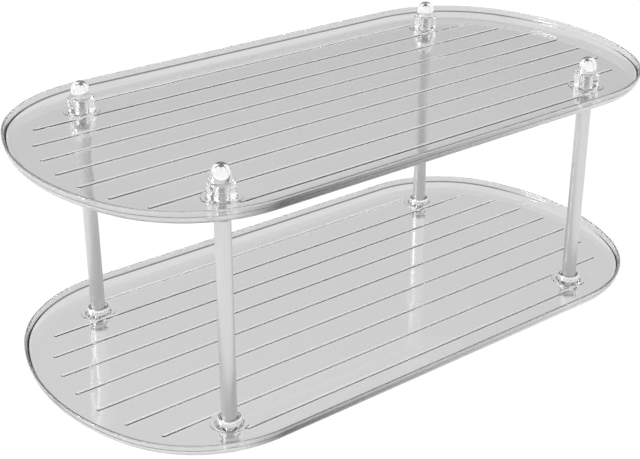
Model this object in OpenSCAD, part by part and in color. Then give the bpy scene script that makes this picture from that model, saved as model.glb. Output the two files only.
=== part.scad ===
// Two-tier clear countertop shelf: two moulded trays on four posts,
// held by screw-in finials above and by screws under the feet.
// Origin: centre of the footprint, on the surface that the feet stand on.
// +X runs along the trays, +Y to the back, +Z up.

/* [Trays] */
// Length of each tray, end to end
tray_l = 320; // [264:2:400]
// Depth of each tray, front to back
tray_w = 166; // [138:1:206]
// Height from the underside of one tray to the underside of the next
tier_pitch = 106; // [80:1:160]
// Height of a tray, from its underside to the top of its rim
tray_h = 7; // [6:0.1:12]
// Thickness of the floor and of the rim's wall
wall = 1.6; // [1.2:0.1:2.4]
// Radius of the rounded corners in plan
corner_r = 62; // [40:1:66]
// Radius of the bowed ends in plan
end_r = 112; // [108:1:150]
// Outer radius where the floor turns up into the rim
edge_r = 6; // [4:0.1:6]

/* [Ribs] */
// Number of ribs on each floor
rib_count = 9; // [5:2:11]
// Width of a rib
rib_w = 1.2; // [0.8:0.1:2]
// Height of a rib above the floor
rib_h = 0.5; // [0.3:0.1:1]
// Distance from the long edge of the tray to the outermost rib
rib_edge = 16; // [12:0.5:24]
// Distance from the tray's outline to the ends of the ribs
rib_end_gap = 12.5; // [9:0.5:20]
// How far the outermost ribs stop short of the post centres
rib_post_gap = 4; // [2:0.5:12]

/* [Post bosses] */
// Distance from the end of the tray to the post centres
post_inset_x = 55; // [46:0.5:80]
// Distance from the long edge of the tray to the post centres
post_inset_y = 24.5; // [20:0.5:32]
// Diameter of the raised pad round each post
pad_d = 17.2; // [14:0.1:19]
// Height of the raised pad above the floor
pad_h = 0.4; // [0.2:0.1:0.8]
// Diameter of the boss where it leaves the floor's underside
boss_top_d = 12.2; // [11:0.1:16]
// Diameter of the boss at its lower end
boss_end_d = 9.6; // [9:0.1:10.6]
// Length of the boss below the floor's underside
boss_l = 7.4; // [6:0.1:14]
// Depth of the socket in the lower end of the boss
socket_l = 3; // [2.8:0.1:4]

/* [Posts] */
// Diameter of the posts
post_d = 7; // [6:0.1:7.4]
// Radial clearance of a post in its socket and in its ferrule
post_gap = 0.05; // [0.03:0.01:0.1]
// Width of the chamfer on the post's ends
post_chamfer = 0.4; // [0.2:0.1:0.8]
// Diameter of the ferrule round the foot of each post
ferrule_d = 10.8; // [9.6:0.1:13]
// Height of that ferrule
ferrule_h = 2.6; // [2:0.1:4]

/* [Finials] */
// Diameter of the metal cap
cap_d = 9.4; // [8:0.1:11]
// Height of the metal cap
cap_h = 7.7; // [6.6:0.1:11]
// Height of the cap's straight side, below its dome
cap_side_h = 3; // [2:0.1:4]
// Diameter of the flat on the top of the dome
cap_tip_d = 1.2; // [0.8:0.1:2]
// Diameter of the clear collar under the cap
collar_d = 12; // [10:0.1:15]
// Height of that collar
collar_h = 6.4; // [4:0.1:12]
// Gap between seated faces that can part
seat_gap = 0.1; // [0.05:0.05:0.2]

/* [Threads] */
// Diameter of the threaded stud and of the foot screw
thread_d = 4; // [3:0.5:4]
// Rise of the thread in one turn
thread_pitch = 0.7; // [0.5:0.1:0.8]
// Turns of thread engaged when a finial is fully home
turns = 10; // [6:1:12]
// Radial clearance of a thread in the post
thread_gap = 0.06; // [0.03:0.01:0.1]
// Radial clearance of a thread in a boss or a collar
bore_gap = 0.15; // [0.1:0.05:0.3]
// Length of stud held inside the cap
stud_grip = 4; // [3:0.1:5]
// Radial gap between the stud and its hole in the cap
grip_gap = 0.02; // [0.01:0.01:0.04]

/* [Foot screws] */
// Radial gap between the screw head and the boss's socket
head_gap = 0.15; // [0.1:0.05:0.3]
// Height of the screw head
head_h = 2.4; // [2:0.1:2.8]
// Width of the slot in the screw head
slot_w = 1; // [0.8:0.1:1.2]
// Depth of the slot in the screw head
slot_l = 1.1; // [0.8:0.1:1.2]
// Length of screw thread inside the post
screw_grip = 7; // [5:0.5:10]
// Thickness of the soft pad under each foot
foot_h = 1.2; // [0.8:0.1:3]
// Diameter of that pad
foot_d = 9.2; // [8:0.1:10]

/* [Hidden] */

// Corners in turn: name, side along X, side along Y
CORNERS = [["front_left", -1, -1], ["front_right", 1, -1], ["rear_left", -1, 1], ["rear_right", 1, 1]];

half_l = tray_l / 2;
half_w = tray_w / 2;

// Plan outline: each end is one bowed arc between two corner arcs, all tangent
end_x = half_l - end_r;
corner_y = half_w - corner_r;
corner_x = end_x + sqrt(pow(end_r - corner_r, 2) - pow(corner_y, 2));
bow_angle = atan2(corner_y, corner_x - end_x);

post_x = half_l - post_inset_x;
post_y = half_w - post_inset_y;

// Least straight height between the rim's turn and its lip
lip_room = 0.2;
// Steps in the rim's turn, in its lip, and degrees to a step in plan
edge_steps = 4;
lip_steps = 4;
plan_step = 5;

// Levels, from the ground up
lower_z = foot_h + boss_l;
upper_z = lower_z + tier_pitch;
post_bottom_z = lower_z + wall + pad_h;
post_top_z = upper_z - boss_l + socket_l;
collar_z = upper_z + wall + pad_h + seat_gap;
cap_z = collar_z + collar_h + seat_gap;

// Depth of thread that a finial has in its post when home
engaged_l = turns * thread_pitch;
// Tapped holes run on past the end of the thread they hold
tap_spare = 2;
tap_d = thread_d + 2 * thread_gap;
clear_d = thread_d + 2 * bore_gap;
socket_d = post_d + 2 * post_gap;
post_end_d = post_d - 2 * post_chamfer;
head_d = socket_d - 2 * head_gap;
// Diameter kept clear of ribs above each pad, for the ferrule or the collar that stands there
seat_d = max(ferrule_d, collar_d) + 2 * seat_gap;

rib_y_max = half_w - rib_edge;
rib_pitch = 2 * rib_y_max / (rib_count - 1);
// Diameter of a rib's rounded ends, which stand a little wider than the rib
rib_end_d = rib_w + 0.2;

// Radius of the turn from floor to rim, which leaves room for the lip
turn_r = min(edge_r, tray_h - wall / 2 - lip_room);
// Depth to which ribs are rooted in the floor
root_l = 0.4;
// Length by which a cutter runs past the face it opens
past = 1;
round_fn = 96;

// Points of an arc, from angle a0 up to but not at angle a1
function arc_points(x, y, r, a0, a1) =
    let (steps = ceil(abs(a1 - a0) / plan_step))
    [for (i = [0:steps - 1]) let (a = a0 + (a1 - a0) * i / steps) [x + r * cos(a), y + r * sin(a)]];

// The tray's outline, moved inwards by inset
function outline(inset) = concat(
    arc_points(end_x, 0, end_r - inset, -bow_angle, bow_angle),
    arc_points(corner_x, corner_y, corner_r - inset, bow_angle, 90),
    [[corner_x, half_w - inset]],
    arc_points(-corner_x, corner_y, corner_r - inset, 90, 180 - bow_angle),
    arc_points(-end_x, 0, end_r - inset, 180 - bow_angle, 180 + bow_angle),
    arc_points(-corner_x, -corner_y, corner_r - inset, 180 + bow_angle, 270),
    [[-corner_x, inset - half_w]],
    arc_points(corner_x, -corner_y, corner_r - inset, 270, 360 - bow_angle)
);

// Half length of the outline, moved inwards by inset, at a distance y from the middle
function outline_x(y, inset) =
    let (end_y = (end_r - inset) * sin(bow_angle))
    y < end_y
        ? end_x + sqrt(pow(end_r - inset, 2) - y * y)
        : corner_x + sqrt(pow(corner_r - inset, 2) - pow(max(y - corner_y, 0), 2));

module at_corner(c) {
    translate([c[1] * post_x, c[2] * post_y, 0]) children();
}

// One loop of the tray's surface: the outline moved in by level[0], at height level[1]
function loop_at(level) = [for (p = outline(level[0])) [p[0], p[1], level[1]]];

// Levels of the tray's surface: up the outside of the rim, over its rounded lip, and
// down the inside to the floor
function rim_levels() = concat(
    [for (i = [0:edge_steps]) let (a = 90 * i / edge_steps)
        [turn_r * (1 - sin(a)), turn_r * (1 - cos(a))]],
    [for (i = [0:lip_steps]) let (a = 180 * i / lip_steps)
        [wall / 2 * (1 - cos(a)), tray_h - wall / 2 * (1 - sin(a))]],
    [for (i = [0:edge_steps]) let (a = 90 * i / edge_steps)
        [turn_r - (turn_r - wall) * cos(a), turn_r - (turn_r - wall) * sin(a)]]
);

// Dish of even wall: a flat floor that turns up into the rim
module dish() {
    loops = [for (level = rim_levels()) loop_at(level)];
    n = len(loops[0]);
    last = len(loops) - 1;
    polyhedron(
        points = [for (loop = loops) each loop],
        faces = concat(
            [[for (i = [0:n - 1]) i]],
            [for (k = [0:last - 1]) for (i = [0:n - 1])
                [k * n + i, (k + 1) * n + i, (k + 1) * n + (i + 1) % n, k * n + (i + 1) % n]],
            [[for (i = [n - 1:-1:0]) last * n + i]]
        )
    );
}

module rib(y) {
    full = outline_x(abs(y), rib_end_gap) - rib_end_d / 2;
    outermost = abs(abs(y) - rib_y_max) < rib_w;
    half = outermost ? min(full, post_x - rib_post_gap) : full;
    translate([-half, y - rib_w / 2, wall - root_l]) cube([2 * half, rib_w, rib_h + root_l]);
    for (side = [-1, 1]) translate([side * half, y, wall - root_l])
        cylinder(d = rib_end_d, h = rib_h + root_l, $fn = 24);
}

module boss() {
    translate([0, 0, wall - root_l]) cylinder(d = pad_d, h = pad_h + root_l, $fn = round_fn);
    translate([0, 0, -boss_l]) cylinder(d1 = boss_end_d, d2 = boss_top_d, h = boss_l, $fn = round_fn);
    cylinder(d = boss_top_d, h = wall, $fn = round_fn);
}

module boss_bore() {
    bore_l = boss_l + wall + pad_h + 2 * past;
    translate([0, 0, -boss_l - past]) cylinder(d = clear_d, h = bore_l, $fn = round_fn);
    translate([0, 0, -boss_l - past]) cylinder(d = socket_d, h = socket_l + past, $fn = round_fn);
}

module tray() {
    difference() {
        union() {
            dish();
            difference() {
                for (i = [0:rib_count - 1]) rib(-rib_y_max + i * rib_pitch);
                for (c = CORNERS) at_corner(c) translate([0, 0, wall + pad_h])
                    cylinder(d = seat_d, h = rib_h + past, $fn = round_fn);
            }
            for (c = CORNERS) at_corner(c) boss();
        }
        for (c = CORNERS) at_corner(c) boss_bore();
    }
}

module lower_tray() {
    color([0.88, 0.90, 0.91, 0.5]) translate([0, 0, lower_z]) tray();
}

module upper_tray() {
    color([0.88, 0.90, 0.91, 0.5]) translate([0, 0, upper_z]) tray();
}

// Solid rod with chamfered ends and a tapped hole in each end
module post() {
    post_l = post_top_z - post_bottom_z;
    color("silver") translate([0, 0, post_bottom_z]) difference() {
        union() {
            cylinder(d1 = post_end_d, d2 = post_d, h = post_chamfer, $fn = round_fn);
            translate([0, 0, post_chamfer])
                cylinder(d = post_d, h = post_l - 2 * post_chamfer, $fn = round_fn);
            translate([0, 0, post_l - post_chamfer])
                cylinder(d1 = post_d, d2 = post_end_d, h = post_chamfer, $fn = round_fn);
        }
        translate([0, 0, -past])
            cylinder(d = tap_d, h = screw_grip + tap_spare + past, $fn = round_fn);
        translate([0, 0, post_l - engaged_l - tap_spare])
            cylinder(d = tap_d, h = engaged_l + tap_spare + past, $fn = round_fn);
    }
}

// Half-round ring that closes the gap between the post and the pad
module ferrule() {
    inner_r = post_d / 2 + post_gap;
    bead_r = (ferrule_d / 2 - inner_r) / 2;
    color("gainsboro") translate([0, 0, post_bottom_z]) rotate_extrude($fn = round_fn) {
        translate([inner_r, 0]) square([2 * bead_r, ferrule_h - bead_r]);
        translate([inner_r + bead_r, ferrule_h - bead_r]) circle(bead_r, $fn = round_fn);
    }
}

module collar() {
    color([0.92, 0.94, 0.95, 0.5]) translate([0, 0, collar_z]) difference() {
        cylinder(d = collar_d, h = collar_h, $fn = round_fn);
        translate([0, 0, -past]) cylinder(d = clear_d, h = collar_h + 2 * past, $fn = round_fn);
    }
}

// Bullet-shaped cap: a straight side and a dome with a small flat top
module cap() {
    dome_h = cap_h - cap_side_h;
    side_r = cap_d / 2;
    tip_r = cap_tip_d / 2;
    dome_r = (pow(side_r - tip_r, 2) + pow(dome_h, 2)) / (2 * (side_r - tip_r));
    hole_l = stud_grip + seat_gap;
    color("white") translate([0, 0, cap_z]) difference() {
        rotate_extrude($fn = round_fn) {
            square([side_r, cap_side_h]);
            intersection() {
                translate([side_r - dome_r, cap_side_h]) circle(dome_r, $fn = round_fn);
                translate([0, cap_side_h]) square([side_r, dome_h]);
            }
        }
        translate([0, 0, -past]) cylinder(d = thread_d + 2 * grip_gap, h = hole_l + past, $fn = round_fn);
    }
}

// Threaded stud, fixed in the cap and screwed into the top of the post
module stud() {
    stud_bottom_z = post_top_z - engaged_l;
    stud_l = cap_z + stud_grip - stud_bottom_z;
    tip_l = thread_d / 8;
    color("silver") translate([0, 0, stud_bottom_z]) {
        cylinder(d1 = thread_d - 2 * tip_l, d2 = thread_d, h = tip_l, $fn = round_fn);
        translate([0, 0, tip_l]) cylinder(d = thread_d, h = stud_l - tip_l, $fn = round_fn);
    }
}

// Slotted screw, up through the foot into the bottom of the post
module foot_screw() {
    seat_z = lower_z - boss_l + socket_l;
    shank_l = post_bottom_z + screw_grip - seat_z;
    color("silver") translate([0, 0, seat_z]) difference() {
        union() {
            translate([0, 0, -head_h]) cylinder(d = head_d, h = head_h, $fn = round_fn);
            cylinder(d = thread_d, h = shank_l, $fn = round_fn);
        }
        translate([-head_d, -slot_w / 2, -head_h - past]) cube([2 * head_d, slot_w, slot_l + past]);
    }
}

module foot_pad() {
    color("whitesmoke") cylinder(d = foot_d, h = foot_h, $fn = round_fn);
}

lower_tray();
upper_tray();
for (c = CORNERS) {
    at_corner(c) post();
    at_corner(c) ferrule();
    at_corner(c) collar();
    at_corner(c) cap();
    at_corner(c) stud();
    at_corner(c) foot_screw();
    at_corner(c) foot_pad();
}
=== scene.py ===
"""Looks of the two-tier clear shelf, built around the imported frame.

Metres, +X along the trays, +Y to the back, +Z up. Sizes named in mm are turned to metres by MM.
"""

import math

import bmesh
import bpy
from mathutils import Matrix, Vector


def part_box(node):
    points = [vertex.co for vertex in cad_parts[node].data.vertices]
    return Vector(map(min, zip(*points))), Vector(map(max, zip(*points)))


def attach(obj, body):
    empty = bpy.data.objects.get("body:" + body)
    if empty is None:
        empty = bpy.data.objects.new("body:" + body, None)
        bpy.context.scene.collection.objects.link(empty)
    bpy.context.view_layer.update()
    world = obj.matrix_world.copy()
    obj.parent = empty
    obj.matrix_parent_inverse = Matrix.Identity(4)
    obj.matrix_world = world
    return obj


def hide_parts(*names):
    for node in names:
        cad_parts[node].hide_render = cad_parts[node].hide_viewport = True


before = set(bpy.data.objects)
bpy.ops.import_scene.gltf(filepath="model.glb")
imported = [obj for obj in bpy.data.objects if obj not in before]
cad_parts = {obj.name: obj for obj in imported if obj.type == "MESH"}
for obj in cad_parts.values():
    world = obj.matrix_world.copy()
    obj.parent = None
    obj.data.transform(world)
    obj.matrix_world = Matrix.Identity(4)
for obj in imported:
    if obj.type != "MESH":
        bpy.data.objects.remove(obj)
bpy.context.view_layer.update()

MM = 0.001
CORNERS = ["front_left", "front_right", "rear_left", "rear_right"]

# Tray, in mm: the CAD's sizes, apart from the ribs' section and the ledge inside the rim
TRAY_H = 7.0
WALL = 1.6
CORNER_R = 62.0
END_R = 112.0
EDGE_R = 6.0
LEDGE_Z = 4.1
LEDGE_W = 0.4
RIB_COUNT = 9
RIB_W = 1.9
RIB_H = 0.45
# Half section of a rib, from the floor to its middle, as shares of its half width and height
RIB_SHOULDER = [(1, 0), (0.9, 0.35), (0.8, 0.65), (0.7, 0.85), (0.58, 0.95), (0.03, 1.04)]
RIB_ROOT = 0.4
RIB_EDGE = 16.0
RIB_END_GAP = 12.5
RIB_POST_GAP = 4.0
PAD_D = 17.2
PAD_H = 0.4
BOSS_TOP_D = 12.2
BOSS_END_D = 9.6
BOSS_L = 7.4
BOSS_END_EDGE = 0.7
BOSS_SKIRT = 1.2
BOSS_FILLET = 0.9
BOSS_ROOT = 0.6
PAD_EDGE = 0.3
SOCKET_L = 3.0
SOCKET_D = 7.1
CLEAR_D = 4.3
# How far a cutting tool runs past the face it opens
PAST = 1.0
# Posts, finials, foot screws and foot pads, in mm
POST_GAP = 0.05
TAP_D = 4.12
TAP_L = 9.0
POST_END_D = 6.2
THREAD_D = 4.0
THREAD_PITCH = 0.7
THREAD_DEPTH = 0.4
GRIP_D = 4.04
GRIP_L = 4.1
CAP_FOOT = 0.6
# 1 would make the cap's dome an ellipse, and less makes it fuller
CAP_FULLNESS = 0.76
CAP_STEPS = 30
FERRULE_EDGE = 0.9
COLLAR_EDGE = 0.35
BORE_EDGE = 0.1
HEAD_H = 2.4
HEAD_EDGE = 0.9
SHANK_SUNK = 0.5
SLOT_W = 1.0
SLOT_L = 1.1
DISC_HOLLOW = 0.12
DISC_RING_IN = 1.6
DISC_RING_OUT = 1.3


# ---------------------------------------------------------------- mesh tools

def smooth_by_angle(mesh, angle=32):
    """Smooth faces, with the edges sharper than angle kept crisp."""
    mesh.polygons.foreach_set("use_smooth", [True] * len(mesh.polygons))
    mesh.set_sharp_from_angle(angle=math.radians(angle))
    mesh.update()


def mesh_object(name, verts, faces):
    """An object from vertices in mm, with its faces turned outwards."""
    mesh = bpy.data.meshes.new(name)
    mesh.from_pydata([Vector(v) * MM for v in verts], [], faces)
    work = bmesh.new()
    work.from_mesh(mesh)
    bmesh.ops.recalc_face_normals(work, faces=work.faces)
    work.to_mesh(mesh)
    work.free()
    smooth_by_angle(mesh)
    piece = bpy.data.objects.new(name, mesh)
    bpy.context.scene.collection.objects.link(piece)
    return piece


def rounded(corners, closed=False, steps=6):
    """Points along a line through corners (u, v, radius), each corner turned into an arc."""
    points, last = [], len(corners) - 1
    for i, (u, v, radius) in enumerate(corners):
        here = Vector((u, v))
        if radius <= 0 or (not closed and i in (0, last)):
            points.append(tuple(here))
            continue
        back = (Vector(corners[i - 1][:2]) - here).normalized()
        on = (Vector(corners[(i + 1) % len(corners)][:2]) - here).normalized()
        half = back.angle(on) / 2
        centre = here + (back + on).normalized() * radius / math.sin(half)
        start = here + back * radius / math.tan(half) - centre
        end = here + on * radius / math.tan(half) - centre
        sweep = start.angle(end)
        for k in range(steps + 1):
            a = sweep * k / steps
            spoke = (start * math.sin(sweep - a) + end * math.sin(a)) / math.sin(sweep)
            points.append(tuple(centre + spoke))
    return points


def revolve(profile, around=96, closed=False):
    """A profile of (radius, height) points turned about Z. Points on the axis become poles."""
    verts, rings = [], []
    for r, z in profile:
        if r < 1e-6:
            rings.append([len(verts)])
            verts.append((0, 0, z))
        else:
            rings.append([len(verts) + k for k in range(around)])
            for k in range(around):
                a = 2 * math.pi * k / around
                verts.append((r * math.cos(a), r * math.sin(a), z))
    faces = []
    for i in range(len(rings) if closed else len(rings) - 1):
        a, b = rings[i], rings[(i + 1) % len(rings)]
        for k in range(around):
            quad = [a[k % len(a)], a[(k + 1) % len(a)], b[(k + 1) % len(b)], b[k % len(b)]]
            face = list(dict.fromkeys(quad))
            if len(face) > 2:
                faces.append(face)
    return verts, faces


def moved(shape, x, y, z=0.0):
    verts, faces = shape
    return [(v[0] + x, v[1] + y, v[2] + z) for v in verts], faces


def joined(shapes):
    """Several shapes that don't meet, as one."""
    verts, faces = [], []
    for v, f in shapes:
        base = len(verts)
        verts += v
        faces += [[i + base for i in face] for face in f]
    return verts, faces


def boolean(piece, operation, tool):
    """Cuts the tool from the piece, or joins it on, and removes the tool."""
    step = piece.modifiers.new(operation, "BOOLEAN")
    step.operation, step.solver, step.object = operation, "MANIFOLD", tool
    dg = bpy.context.evaluated_depsgraph_get()
    made = bpy.data.meshes.new_from_object(piece.evaluated_get(dg))
    piece.modifiers.clear()
    old, piece.data = piece.data, made
    bpy.data.meshes.remove(old)
    data = tool.data
    bpy.data.objects.remove(tool)
    bpy.data.meshes.remove(data)
    made.name = piece.name
    return piece


def threaded_rod(length, tip=0.5, around=32, steps=10):
    """A rod with a right-hand helical thread of rounded V shape, from z = 0 up."""
    rings = round(length / THREAD_PITCH * steps)
    verts, faces = [], []
    for i in range(rings + 1):
        z = length * i / rings
        end = min(z, length - z)
        for k in range(around):
            a = 2 * math.pi * k / around
            phase = (z / THREAD_PITCH - k / around) % 1.0
            ridge = 0.5 + 0.5 * math.cos(2 * math.pi * phase)
            r = THREAD_D / 2 - THREAD_DEPTH * (1 - ridge ** 0.7)
            r = min(r, THREAD_D / 2 - tip + end)
            verts.append((r * math.cos(a), r * math.sin(a), z))
    for i in range(rings):
        for k in range(around):
            j = (k + 1) % around
            low, high = i * around, (i + 1) * around
            faces.append([low + k, low + j, high + j, high + k])
    faces.append(list(range(around))[::-1])
    faces.append([rings * around + k for k in range(around)])
    return verts, faces


# ---------------------------------------------------------------- places, from the frame

def centre_xy(node):
    """The middle of a node's box, in mm."""
    lo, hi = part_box(node)
    return (lo.x + hi.x) / 2 / MM, (lo.y + hi.y) / 2 / MM


tray_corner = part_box("lower_tray")[1]
half_l, half_w = tray_corner.x / MM, tray_corner.y / MM
post_at = {c: centre_xy("post_" + c) for c in CORNERS}
post_x = abs(post_at["front_left"][0])


# ---------------------------------------------------------------- tray

end_x = half_l - END_R
corner_y = half_w - CORNER_R
corner_x = end_x + math.sqrt((END_R - CORNER_R) ** 2 - corner_y ** 2)
bow_angle = math.atan2(corner_y, corner_x - end_x)


def outline(inset, step=1.5):
    """The tray's outline, moved inwards by inset."""
    points = []

    def arc(x, y, r, a0, a1, last=False):
        n = math.ceil(math.degrees(a1 - a0) / step)
        for i in range(n + (1 if last else 0)):
            a = a0 + (a1 - a0) * i / n
            points.append((x + r * math.cos(a), y + r * math.sin(a)))

    half_turn, quarter = math.pi, math.pi / 2
    arc(end_x, 0, END_R - inset, -bow_angle, bow_angle)
    arc(corner_x, corner_y, CORNER_R - inset, bow_angle, quarter, last=True)
    arc(-corner_x, corner_y, CORNER_R - inset, quarter, half_turn - bow_angle)
    arc(-end_x, 0, END_R - inset, half_turn - bow_angle, half_turn + bow_angle)
    arc(-corner_x, -corner_y, CORNER_R - inset, half_turn + bow_angle, 3 * quarter, last=True)
    arc(corner_x, -corner_y, CORNER_R - inset, 3 * quarter, 4 * quarter - bow_angle)
    return points


def outline_x(y, inset):
    """Half length of the moved-in outline at a distance y from the middle."""
    if y < (END_R - inset) * math.sin(bow_angle):
        return end_x + math.sqrt((END_R - inset) ** 2 - y * y)
    return corner_x + math.sqrt((CORNER_R - inset) ** 2 - max(y - corner_y, 0) ** 2)


def inset_at(x, y):
    """How far a point lies inside the tray's outline."""
    x, y = abs(x), abs(y)
    if x <= corner_x and y > corner_y:
        return half_w - y
    angle = math.atan2(y - corner_y, x - corner_x)
    if y > corner_y and angle > bow_angle:
        return CORNER_R - math.hypot(x - corner_x, y - corner_y)
    return END_R - math.hypot(x - end_x, y)


def rim_levels(steps=14, lip_steps=10):
    """(inset, height) up the outside of the rim, over its lip and down the inside to the floor.

    The inside has a fine ledge, where the rim's upper wall steps out to the full wall below it.
    """
    levels = []
    for i in range(steps + 1):
        a = math.pi / 2 * i / steps
        levels.append((EDGE_R * (1 - math.sin(a)), EDGE_R * (1 - math.cos(a))))
    lip_r = (WALL - LEDGE_W) / 2
    for i in range(lip_steps + 1):
        a = math.pi * i / lip_steps
        levels.append((lip_r * (1 - math.cos(a)), TRAY_H - lip_r * (1 - math.sin(a))))
    levels += [(WALL - LEDGE_W, LEDGE_Z + LEDGE_W), (WALL - LEDGE_W * 0.3, LEDGE_Z + LEDGE_W * 0.2)]
    inner_r = EDGE_R - WALL
    inner_y = LEDGE_Z - 0.15
    first = math.asin((EDGE_R - inner_y) / inner_r)
    levels.append((EDGE_R - inner_r * math.cos(first), LEDGE_Z))
    for i in range(steps + 1):
        a = first + (math.pi / 2 - first) * i / steps
        levels.append((EDGE_R - inner_r * math.cos(a), EDGE_R - inner_r * math.sin(a)))
    return levels


def dish():
    """The floor and rim in one closed shell."""
    loops = [[(x, y, z) for x, y in outline(inset)] for inset, z in rim_levels()]
    n, verts, faces = len(loops[0]), [p for loop in loops for p in loop], []
    for k in range(len(loops) - 1):
        for i in range(n):
            j = (i + 1) % n
            low, high = k * n, (k + 1) * n
            faces.append([low + i, high + i, high + j, low + j])
    faces.append(list(range(n)))
    faces.append([(len(loops) - 1) * n + i for i in range(n)][::-1])
    return verts, faces


def rib(y, around=16):
    """A low rib with a flat crown, soft shoulders and rounded ends, rooted in the floor."""
    half = outline_x(abs(y), RIB_END_GAP) - RIB_W / 2
    if abs(y) > half_w - RIB_EDGE - RIB_W:
        half = min(half, post_x - RIB_POST_GAP)
    levels = [(RIB_W / 2, WALL - RIB_ROOT)]
    levels += [(RIB_W / 2 * out, WALL + RIB_H * up) for out, up in RIB_SHOULDER]
    verts, faces, n = [], [], 2 * (around + 1)
    for r, z in levels:
        for side in (1, -1):
            for k in range(around + 1):
                a = math.pi * (k / around - 0.5)
                verts.append((side * (half + r * math.cos(a)), y + side * r * math.sin(a), z))
    for k in range(len(levels) - 1):
        for i in range(n):
            j = (i + 1) % n
            low, high = k * n, (k + 1) * n
            faces.append([low + i, low + j, high + j, high + i])
    faces.append(list(range(n))[::-1])
    faces.append([(len(levels) - 1) * n + i for i in range(n)])
    return verts, faces


def boss():
    """The raised pad and the tapered boss below the floor, as one solid."""
    top_r, skirt_r, root = BOSS_TOP_D / 2, BOSS_TOP_D / 2 + BOSS_SKIRT, WALL - BOSS_ROOT
    return revolve(rounded([
        (0, -BOSS_L, 0),
        (BOSS_END_D / 2, -BOSS_L, BOSS_END_EDGE),
        (top_r, -0.1, BOSS_FILLET),
        (skirt_r, 0.3, 0),
        (skirt_r, root, 0),
        (PAD_D / 2, root, 0),
        (PAD_D / 2, WALL + PAD_H, PAD_EDGE),
        (0, WALL + PAD_H, 0),
    ]))


def boss_bore():
    """What is cut from a boss: the post's socket and the screw's clearance hole."""
    return revolve([
        (0, -BOSS_L - PAST),
        (SOCKET_D / 2, -BOSS_L - PAST),
        (SOCKET_D / 2, -BOSS_L + SOCKET_L),
        (CLEAR_D / 2, -BOSS_L + SOCKET_L),
        (CLEAR_D / 2, WALL + PAD_H + PAST),
        (0, WALL + PAD_H + PAST),
    ])


def tray(name):
    piece = mesh_object(name, *dish())
    rib_y = half_w - RIB_EDGE
    ribs = joined([rib(-rib_y + 2 * rib_y * i / (RIB_COUNT - 1)) for i in range(RIB_COUNT)])
    bosses = joined([moved(boss(), *post_at[c]) for c in CORNERS])
    bores = joined([moved(boss_bore(), *post_at[c]) for c in CORNERS])
    boolean(piece, "UNION", mesh_object("ribs", *ribs))
    boolean(piece, "UNION", mesh_object("bosses", *bosses))
    boolean(piece, "DIFFERENCE", mesh_object("bores", *bores))
    smooth_by_angle(piece.data)
    return piece


# ---------------------------------------------------------------- materials

class Nodes:
    """A material's node tree, with short calls for the nodes used here."""

    def __init__(self, name, **plain):
        self.material = bpy.data.materials.new(name)
        self.material.use_nodes = True
        self.tree = self.material.node_tree
        self.shader = self.tree.nodes["Principled BSDF"]
        for socket, value in plain.items():
            self.shader.inputs[socket.replace("_", " ")].default_value = value
        self.place = self.tree.nodes.new("ShaderNodeTexCoord").outputs["Object"]

    def link(self, source, target):
        self.tree.links.new(source, target)

    def mapped(self, scale):
        node = self.tree.nodes.new("ShaderNodeMapping")
        node.inputs["Scale"].default_value = scale
        self.link(self.place, node.inputs["Vector"])
        return node.outputs["Vector"]

    def noise(self, scale, detail=2.0, stretch=(1, 1, 1)):
        node = self.tree.nodes.new("ShaderNodeTexNoise")
        node.inputs["Scale"].default_value = scale
        node.inputs["Detail"].default_value = detail
        self.link(self.mapped(stretch), node.inputs["Vector"])
        return node.outputs["Fac"]

    def between(self, factor, low, high, at=(0.3, 0.7)):
        node = self.tree.nodes.new("ShaderNodeMapRange")
        for socket, value in zip(("From Min", "From Max", "To Min", "To Max"), (*at, low, high)):
            node.inputs[socket].default_value = value
        self.link(factor, node.inputs["Value"])
        return node.outputs["Result"]

    def colours(self, factor, low, high):
        node = self.tree.nodes.new("ShaderNodeMix")
        node.data_type = "RGBA"
        sockets = [s for s in node.inputs if s.type == "RGBA"]
        sockets[0].default_value, sockets[1].default_value = (*low, 1), (*high, 1)
        self.link(factor, node.inputs["Factor"])
        return next(s for s in node.outputs if s.type == "RGBA")

    def bump(self, height, distance, strength=1.0):
        node = self.tree.nodes.new("ShaderNodeBump")
        node.inputs["Distance"].default_value = distance
        node.inputs["Strength"].default_value = strength
        self.link(height, node.inputs["Height"])
        self.link(node.outputs["Normal"], self.shader.inputs["Normal"])

    def colour(self, source):
        self.link(source, self.shader.inputs["Base Color"])

    def rough(self, source):
        self.link(source, self.shader.inputs["Roughness"])


def clear_plastic(name, tint, painted_shade_colour, clear=1.0):
    """Clear plastic. Its "line" attribute marks where painted shade darkens the rim's colour."""
    m = Nodes(name, Transmission_Weight=clear, IOR=1.49)
    line = m.tree.nodes.new("ShaderNodeAttribute")
    line.attribute_name = "line"
    # Painted shade: the base colour darkens toward the painted shade colour where "line" is set, on
    # the rim's ledge and front turn
    m.colour(m.colours(line.outputs["Fac"], tint, painted_shade_colour))
    m.rough(m.between(m.noise(60), 0.02, 0.06))
    m.bump(m.noise(45, detail=1.0), 0.0001, 0.3)
    return m.material


def frosted_plastic(name):
    """The duller crowns of the ribs."""
    m = Nodes(name, Transmission_Weight=0.45, IOR=1.49)
    m.colour(m.colours(m.noise(300), (0.90, 0.905, 0.91), (0.97, 0.97, 0.975)))
    m.rough(m.between(m.noise(900, detail=4.0), 0.4, 0.55))
    m.bump(m.noise(2200, detail=2.0), 0.00002, 0.3)
    return m.material


def chrome(name):
    m = Nodes(name, Metallic=1.0)
    m.colour(m.colours(m.noise(900, detail=3.0), (0.90, 0.90, 0.91), (0.95, 0.95, 0.95)))
    m.rough(m.between(m.noise(700, detail=4.0), 0.03, 0.08))
    m.bump(m.noise(1500, detail=2.0), 0.00001, 0.2)
    return m.material


def satin_aluminium(name):
    m = Nodes(name, Metallic=1.0)
    grain = m.noise(400, detail=4.0, stretch=(6, 6, 0.15))
    m.colour(m.colours(grain, (0.61, 0.61, 0.615), (0.70, 0.70, 0.705)))
    m.rough(m.between(grain, 0.34, 0.46))
    m.bump(grain, 0.00002, 0.4)
    return m.material


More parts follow.
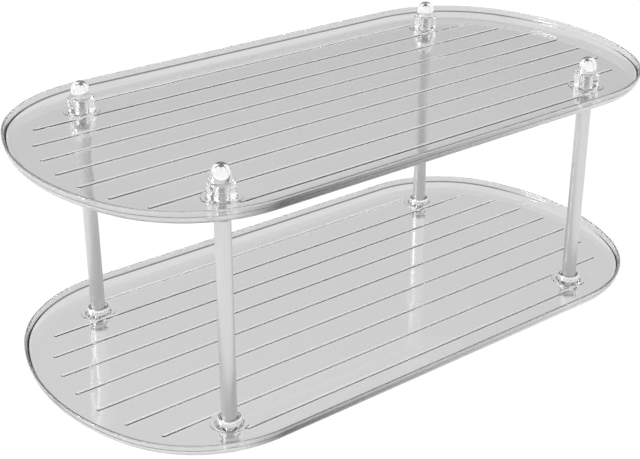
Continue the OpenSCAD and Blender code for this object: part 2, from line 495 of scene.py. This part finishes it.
def steel(name):
    m = Nodes(name, Metallic=1.0)
    m.colour(m.colours(m.noise(500, detail=4.0), (0.66, 0.66, 0.67), (0.78, 0.78, 0.78)))
    m.rough(m.between(m.noise(900, detail=3.0), 0.2, 0.35))
    m.bump(m.noise(1400), 0.00001, 0.3)
    return m.material


def soft_pad(name):
    m = Nodes(name, Transmission_Weight=0.5, IOR=1.41)
    m.colour(m.colours(m.noise(300), (0.86, 0.87, 0.88), (0.94, 0.95, 0.96)))
    m.rough(m.between(m.noise(600, detail=4.0), 0.35, 0.5))
    m.bump(m.noise(2500, detail=2.0), 0.00003, 0.4)
    return m.material


TRAY_TINT = (0.955, 0.957, 0.96)
# Painted shade: the near-black colour mixed into the rim where the "line" attribute is set,
# standing in for the rim's shade and dark refraction
PAINTED_RIM_SHADE = (0.10, 0.10, 0.11)
COLLAR_TINT = (0.97, 0.975, 0.98)
TRAY_PLASTIC = clear_plastic("clear_plastic", TRAY_TINT, PAINTED_RIM_SHADE)
LIP_PLASTIC = clear_plastic("clear_lip", TRAY_TINT, PAINTED_RIM_SHADE, clear=0.86)
RIB_PLASTIC = frosted_plastic("rib_crowns")
COLLAR_PLASTIC = clear_plastic("clear_collar", COLLAR_TINT, COLLAR_TINT)
CHROME = chrome("chrome")
ALUMINIUM = satin_aluminium("satin_aluminium")
STEEL = steel("steel")
SOFT = soft_pad("soft_pad")


def place(piece, node, material, body="root", also=()):
    """Gives a finished piece its materials and body, and lets it stand for its CAD node."""
    faces = [face.material_index for face in piece.data.polygons]
    piece.data.materials.clear()
    for each in (material, *also):
        piece.data.materials.append(each)
    piece.data.polygons.foreach_set("material_index", faces)
    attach(piece, body)
    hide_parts(node)
    return piece


# ---------------------------------------------------------------- the trays

def share(value, at_one, at_nought):
    """1 at one value, 0 at another, and even steps between them."""
    return min(max((value - at_nought) / (at_one - at_nought), 0.0), 1.0)


def mark_edges(piece, dark_to, clear_from):
    """Writes the "line" attribute, fixed to the tray: where painted shade darkens the plastic's
    colour.

    It marks a painted shadow line along the fine ledge inside the rim, strongest at the back, and
    painted shade on the turn below the front rim, which fades along X between two places.
    """
    line = piece.data.attributes.new("line", "FLOAT", "POINT")
    for i, v in enumerate(piece.data.vertices):
        x, y, z = (c / MM for c in v.co)
        inset = inset_at(x, y)
        if inset > EDGE_R - 0.01:
            continue
        under = max(EDGE_R - z, 0)
        outer_inset = EDGE_R - math.sqrt(max(EDGE_R ** 2 - under ** 2, 0))
        if inset > outer_inset + (WALL - LEDGE_W) / 2:
            if abs(z - LEDGE_Z) < LEDGE_W * 0.6:
                line.data[i].value = share(y, half_w * 0.5, 0)
        elif y < -corner_y and 0.2 < z < TRAY_H - WALL / 2:
            ends = share(abs(x), corner_x, corner_x + 20)
            line.data[i].value = ends * share(x, dark_to, clear_from)


# The order of a tray's materials, after its main plastic
MAIN_FACES, RIB_FACES, LIP_FACES = 0, 1, 2
first = tray("lower_tray_shell")
for face in first.data.polygons:
    x, y, z = (c / MM for c in face.center)
    to_post = min(math.hypot(x - px, y - py) for px, py in post_at.values())
    on_floor = inset_at(x, y) > EDGE_R and to_post >= PAD_D / 2 + 0.01
    if on_floor and z > WALL + RIB_H * 0.8:
        face.material_index = RIB_FACES
    else:
        face.material_index = LIP_FACES if z > LEDGE_Z + LEDGE_W * 0.3 else MAIN_FACES
second = first.copy()
second.data = first.data.copy()
second.name = "upper_tray_shell"
bpy.context.scene.collection.objects.link(second)
# Each tray's pair gives where along X, in mm, its painted shade on the front turn runs from full to
# none
for piece, node, fade in ((first, "lower_tray", (0, 90)), (second, "upper_tray", (-65, 10))):
    mark_edges(piece, *fade)
    piece.location.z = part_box(node)[1].z - TRAY_H * MM
    place(piece, node, TRAY_PLASTIC, also=[RIB_PLASTIC, LIP_PLASTIC])


# ---------------------------------------------------------------- the posts and fittings

def at_node(name, node, shape):
    """A turned piece whose z = 0 is the bottom of its CAD node, on that node's axis."""
    lo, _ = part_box(node)
    piece = mesh_object(name, *shape)
    x, y = centre_xy(node)
    piece.location = (x * MM, y * MM, lo.z)
    return piece


def size_of(node):
    """(diameter, height) of a round CAD node, in mm."""
    lo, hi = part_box(node)
    return (hi.x - lo.x) / MM, (hi.z - lo.z) / MM


def post_shape(node):
    """A rod with chamfered ends and a tapped hole in each."""
    d, h = size_of(node)
    end_r, tap_r = POST_END_D / 2, TAP_D / 2
    chamfer = d / 2 - end_r
    return revolve(rounded([
        (0, TAP_L, 0),
        (tap_r, TAP_L, 0),
        (tap_r, 0, 0),
        (end_r, 0, 0.1),
        (d / 2, chamfer, 0.2),
        (d / 2, h - chamfer, 0.2),
        (end_r, h, 0.1),
        (tap_r, h, 0),
        (tap_r, h - TAP_L, 0),
        (0, h - TAP_L, 0),
    ], steps=3))


def ferrule_shape(node, post_d):
    d, h = size_of(node)
    inner = post_d / 2 + POST_GAP
    return revolve(rounded([
        (inner, 0, 0),
        (d / 2, 0, 0.15),
        (d / 2, h, FERRULE_EDGE),
        (inner, h, FERRULE_EDGE),
    ], closed=True, steps=10), closed=True)


def collar_shape(node):
    d, h = size_of(node)
    return revolve(rounded([
        (CLEAR_D / 2, 0, BORE_EDGE),
        (d / 2, 0, COLLAR_EDGE),
        (d / 2, h, COLLAR_EDGE),
        (CLEAR_D / 2, h, BORE_EDGE),
    ], closed=True), closed=True)


def cap_shape(node):
    """A bullet on a short straight foot, with a blind hole for its stud."""
    d, h = size_of(node)
    bullet = []
    for i in range(1, CAP_STEPS):
        a = math.pi / 2 * i / CAP_STEPS
        r = d / 2 * math.cos(a) ** CAP_FULLNESS
        bullet.append((r, CAP_FOOT + (h - CAP_FOOT) * math.sin(a)))
    base = rounded([
        (0, GRIP_L, 0),
        (GRIP_D / 2, GRIP_L, 0),
        (GRIP_D / 2, 0, BORE_EDGE),
        (d / 2, 0, 0.25),
        (d / 2, CAP_FOOT, 0),
    ])
    return revolve(base + bullet + [(0, h)])


def head_shape(d):
    return revolve(rounded([
        (0, 0, 0),
        (d / 2, 0, HEAD_EDGE),
        (d / 2, HEAD_H, 0.15),
        (0, HEAD_H, 0),
    ]))


def pad_shape(node):
    """A soft disc that stands on a ring round its slightly hollow underside."""
    d, h = size_of(node)
    return revolve(rounded([
        (0, DISC_HOLLOW, 0),
        (d / 2 - DISC_RING_IN, DISC_HOLLOW, 0.1),
        (d / 2 - DISC_RING_OUT, 0, 0.1),
        (d / 2, 0, 0.3),
        (d / 2, h, 0.25),
        (0, h, 0),
    ]))


def slot_tool(head_d):
    """The bar that cuts a foot screw's slot."""
    work = bmesh.new()
    bmesh.ops.create_cube(work, size=1.0)
    bmesh.ops.scale(work, vec=Vector((head_d * 1.5, SLOT_W, SLOT_L * 2)) * MM, verts=work.verts)
    mesh = bpy.data.meshes.new("slot")
    work.to_mesh(mesh)
    work.free()
    tool = bpy.data.objects.new("slot", mesh)
    bpy.context.scene.collection.objects.link(tool)
    return tool


def foot_screw(name, node, corner):
    head_d, screw_h = size_of(node)
    piece = mesh_object(name, *head_shape(head_d))
    shank = moved(threaded_rod(screw_h - HEAD_H + SHANK_SUNK), 0, 0, HEAD_H - SHANK_SUNK)
    boolean(piece, "UNION", mesh_object("shank", *shank))
    boolean(piece, "DIFFERENCE", slot_tool(head_d))
    smooth_by_angle(piece.data)
    piece.location = (*(v * MM for v in post_at[corner]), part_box(node)[0].z)
    return piece


for corner in CORNERS:
    finial = "finial_" + corner
    post = "post_" + corner
    place(at_node(post + "_rod", post, post_shape(post)), post, ALUMINIUM)
    ferrule = "ferrule_" + corner
    ring = ferrule_shape(ferrule, size_of(post)[0])
    place(at_node(ferrule + "_ring", ferrule, ring), ferrule, CHROME)
    collar = "collar_" + corner
    tube = at_node(collar + "_tube", collar, collar_shape(collar))
    place(tube, collar, COLLAR_PLASTIC, collar)
    cap = "cap_" + corner
    place(at_node(cap + "_bullet", cap, cap_shape(cap)), cap, CHROME, finial)
    stud = "stud_" + corner
    thread = threaded_rod(size_of(stud)[1])
    place(at_node(stud + "_thread", stud, thread), stud, STEEL, finial)
    pad = "foot_pad_" + corner
    place(at_node(pad + "_disc", pad, pad_shape(pad)), pad, SOFT)
    screw = "foot_screw_" + corner
    place(foot_screw(screw + "_slotted", screw, corner), screw, STEEL)


# ---------------------------------------------------------------- stage, light and camera

VIEW_AZ = 37.23
CAP_LEVEL = Vector((0, 0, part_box("cap_front_left")[0].z))
SEAM_RADIUS = 0.6
FORK_RADIUS = 0.59
TOP_RADIUS = 0.62
CARD_COLOUR = (0.02, 0.02, 0.02)


def stage_material(name, colour, glow):
    """A dull, softly glowing surface, which reflects nothing."""
    m = Nodes(name, Roughness=0.9, Specular_IOR_Level=0.0)
    m.colour(m.colours(m.noise(8), colour, tuple(c * 0.985 for c in colour)))
    m.shader.inputs["Emission Color"].default_value = (1, 1, 1, 1)
    m.shader.inputs["Emission Strength"].default_value = glow
    return m.material


def card(name, verts, faces, material, seen_by):
    """A stage surface seen only by the kinds of ray named. It casts no shadow."""
    mesh = bpy.data.meshes.new(name)
    mesh.from_pydata(verts, [], faces)
    piece = bpy.data.objects.new(name, mesh)
    mesh.materials.append(material)
    bpy.context.scene.collection.objects.link(piece)
    piece.visible_camera = "camera" in seen_by
    piece.visible_diffuse = "camera" in seen_by
    piece.visible_glossy = "reflection" in seen_by
    piece.visible_transmission = "refraction" in seen_by
    piece.visible_shadow = False
    return piece


def flat_card(name, height, material, seen_by, reach=30.0):
    """A level square card, centred under the object."""
    signs = [(-1, -1), (1, -1), (1, 1), (-1, 1)]
    square = [(x * reach, y * reach, height) for x, y in signs]
    return card(name, square, [[0, 1, 2, 3]], material, seen_by)


def toward(turn, rise):
    """The direction at a turn and a rise, in degrees.

    A turn is clockwise, seen from above, from the way the camera looks at rest.
    """
    az, el = math.radians(VIEW_AZ + turn), math.radians(rise)
    return Vector((math.cos(el) * math.sin(az), math.cos(el) * math.cos(az), math.sin(el)))


def dome_card(name, turns, rises, material, radius=2.0, steps=16):
    """A piece of a dome round the object, seen in reflections and through the plastic."""
    verts, faces = [], []
    for i in range(steps + 1):
        for k in range(steps + 1):
            turn = turns[0] + (turns[1] - turns[0]) * k / steps
            verts.append(toward(turn, rises[0] + (rises[1] - rises[0]) * i / steps) * radius)
    for i in range(steps):
        for k in range(steps):
            a = i * (steps + 1) + k
            faces.append([a, a + 1, a + steps + 2, a + steps + 1])
    return card(name, verts, faces, material, ("reflection", "refraction"))


def seam_card(name, stops, width, material, radius=SEAM_RADIUS, steps=12):
    """A narrow strip round the caps through stops (turn, rise), seen only in reflections."""
    spine = []
    stops = [toward(*stop) for stop in stops]
    for a, b in zip(stops, stops[1:]):
        spine += [a.slerp(b, i / steps) for i in range(steps)]
    spine.append(stops[-1])
    verts, faces = [], []
    for i, d in enumerate(spine):
        along = spine[min(i + 1, len(spine) - 1)] - spine[max(i - 1, 0)]
        half = along.cross(d).normalized() * math.radians(width) / 2
        verts += [CAP_LEVEL + (d - half) * radius, CAP_LEVEL + (d + half) * radius]
    for i in range(len(spine) - 1):
        faces.append([2 * i, 2 * i + 1, 2 * i + 3, 2 * i + 2])
    return card(name, verts, faces, material, ("reflection",))


# The floor is white where it is seen itself, and grey where it is seen through the plastic
WHITE_FLOOR = stage_material("floor", (0.05, 0.05, 0.05), 1.0)
flat_card("floor", 0.0, WHITE_FLOOR, ("camera", "reflection"))
GREY_FLOOR = stage_material("floor_tone", CARD_COLOUR, 0.70)
flat_card("floor_tone", -0.001, GREY_FLOOR, ("refraction",))
GREY = stage_material("grey_card", CARD_COLOUR, 0.22)
DARK = stage_material("dark_card", CARD_COLOUR, 0.02)
SOFT_DARK = stage_material("soft_dark_card", CARD_COLOUR, 0.45)
dome_card("back_card", (-32, 32), (6, 50), GREY)
# Strips that the chrome caps reflect as arched lines, as the photograph shows
TOP_FRONT, TOP_LEFT, TOP_RIGHT, TOP_BACK = (180, 62), (-105, 64), (105, 64), (0, 58)
SIDE_TURN = 105
SIDE_LOW = -11
SIDE_SPLIT = 34
seam_card("seam_middle", [(180, 30), TOP_FRONT], 4, SOFT_DARK)
for side, top, far in ((-1, TOP_LEFT, 35), (1, TOP_RIGHT, -35)):
    split = (side * SIDE_TURN, SIDE_SPLIT)
    seam_card("seam_side", [split, top, TOP_BACK, (far, 50)], 8, DARK)
    seam_card("seam_low", [(side * SIDE_TURN, SIDE_LOW), split], 5, SOFT_DARK)
    seam_card("seam_fork", [TOP_FRONT, top], 6, DARK, radius=FORK_RADIUS)
top_stops = (TOP_FRONT, TOP_RIGHT, TOP_BACK, TOP_LEFT)
top_corners = [CAP_LEVEL + toward(*stop) * TOP_RADIUS for stop in top_stops]
card("top_card", top_corners, [[0, 1, 2, 3]], GREY, ("reflection",))

KEY_TURN = math.radians(VIEW_AZ - 100)
KEY_DISTANCE = 1.6
key = bpy.data.lights.new("key", "AREA")
key.shape, key.size, key.energy = "DISK", 0.5, 14.0
key_object = bpy.data.objects.new("key", key)
key_at = Vector((math.sin(KEY_TURN), math.cos(KEY_TURN), 0.45)) * KEY_DISTANCE
key_object.location = key_at
key_object.rotation_mode = "QUATERNION"
key_object.rotation_quaternion = (-key_at).to_track_quat("-Z", "Y")
bpy.context.scene.collection.objects.link(key_object)

world = bpy.data.worlds.new("studio")
bpy.context.scene.world = world
world.use_nodes = True
background = world.node_tree.nodes["Background"]
background.inputs["Color"].default_value = (1, 1, 1, 1)
background.inputs["Strength"].default_value = 1.0

# The camera's place, direction and lens come from a fit to the photograph's outlines
LOOK = Vector((0.55196, 0.72631, -0.40966))
camera = bpy.data.cameras.new("camera")
camera.lens = 71.117
camera.sensor_width = 36.0
camera.shift_y = -0.08
camera_object = bpy.data.objects.new("camera", camera)
camera_object.location = (-0.3462, -0.43965, 0.32597)
camera_object.rotation_mode = "QUATERNION"
camera_object.rotation_quaternion = LOOK.to_track_quat("-Z", "Y")
bpy.context.scene.collection.objects.link(camera_object)
bpy.context.scene.camera = camera_object
bpy.context.scene.view_settings.view_transform = "Standard"
# Light crosses many clear walls on its way through both trays
bpy.context.scene.cycles.max_bounces = 32
bpy.context.scene.cycles.transmission_bounces = 32
bpy.context.scene.cycles.glossy_bounces = 8
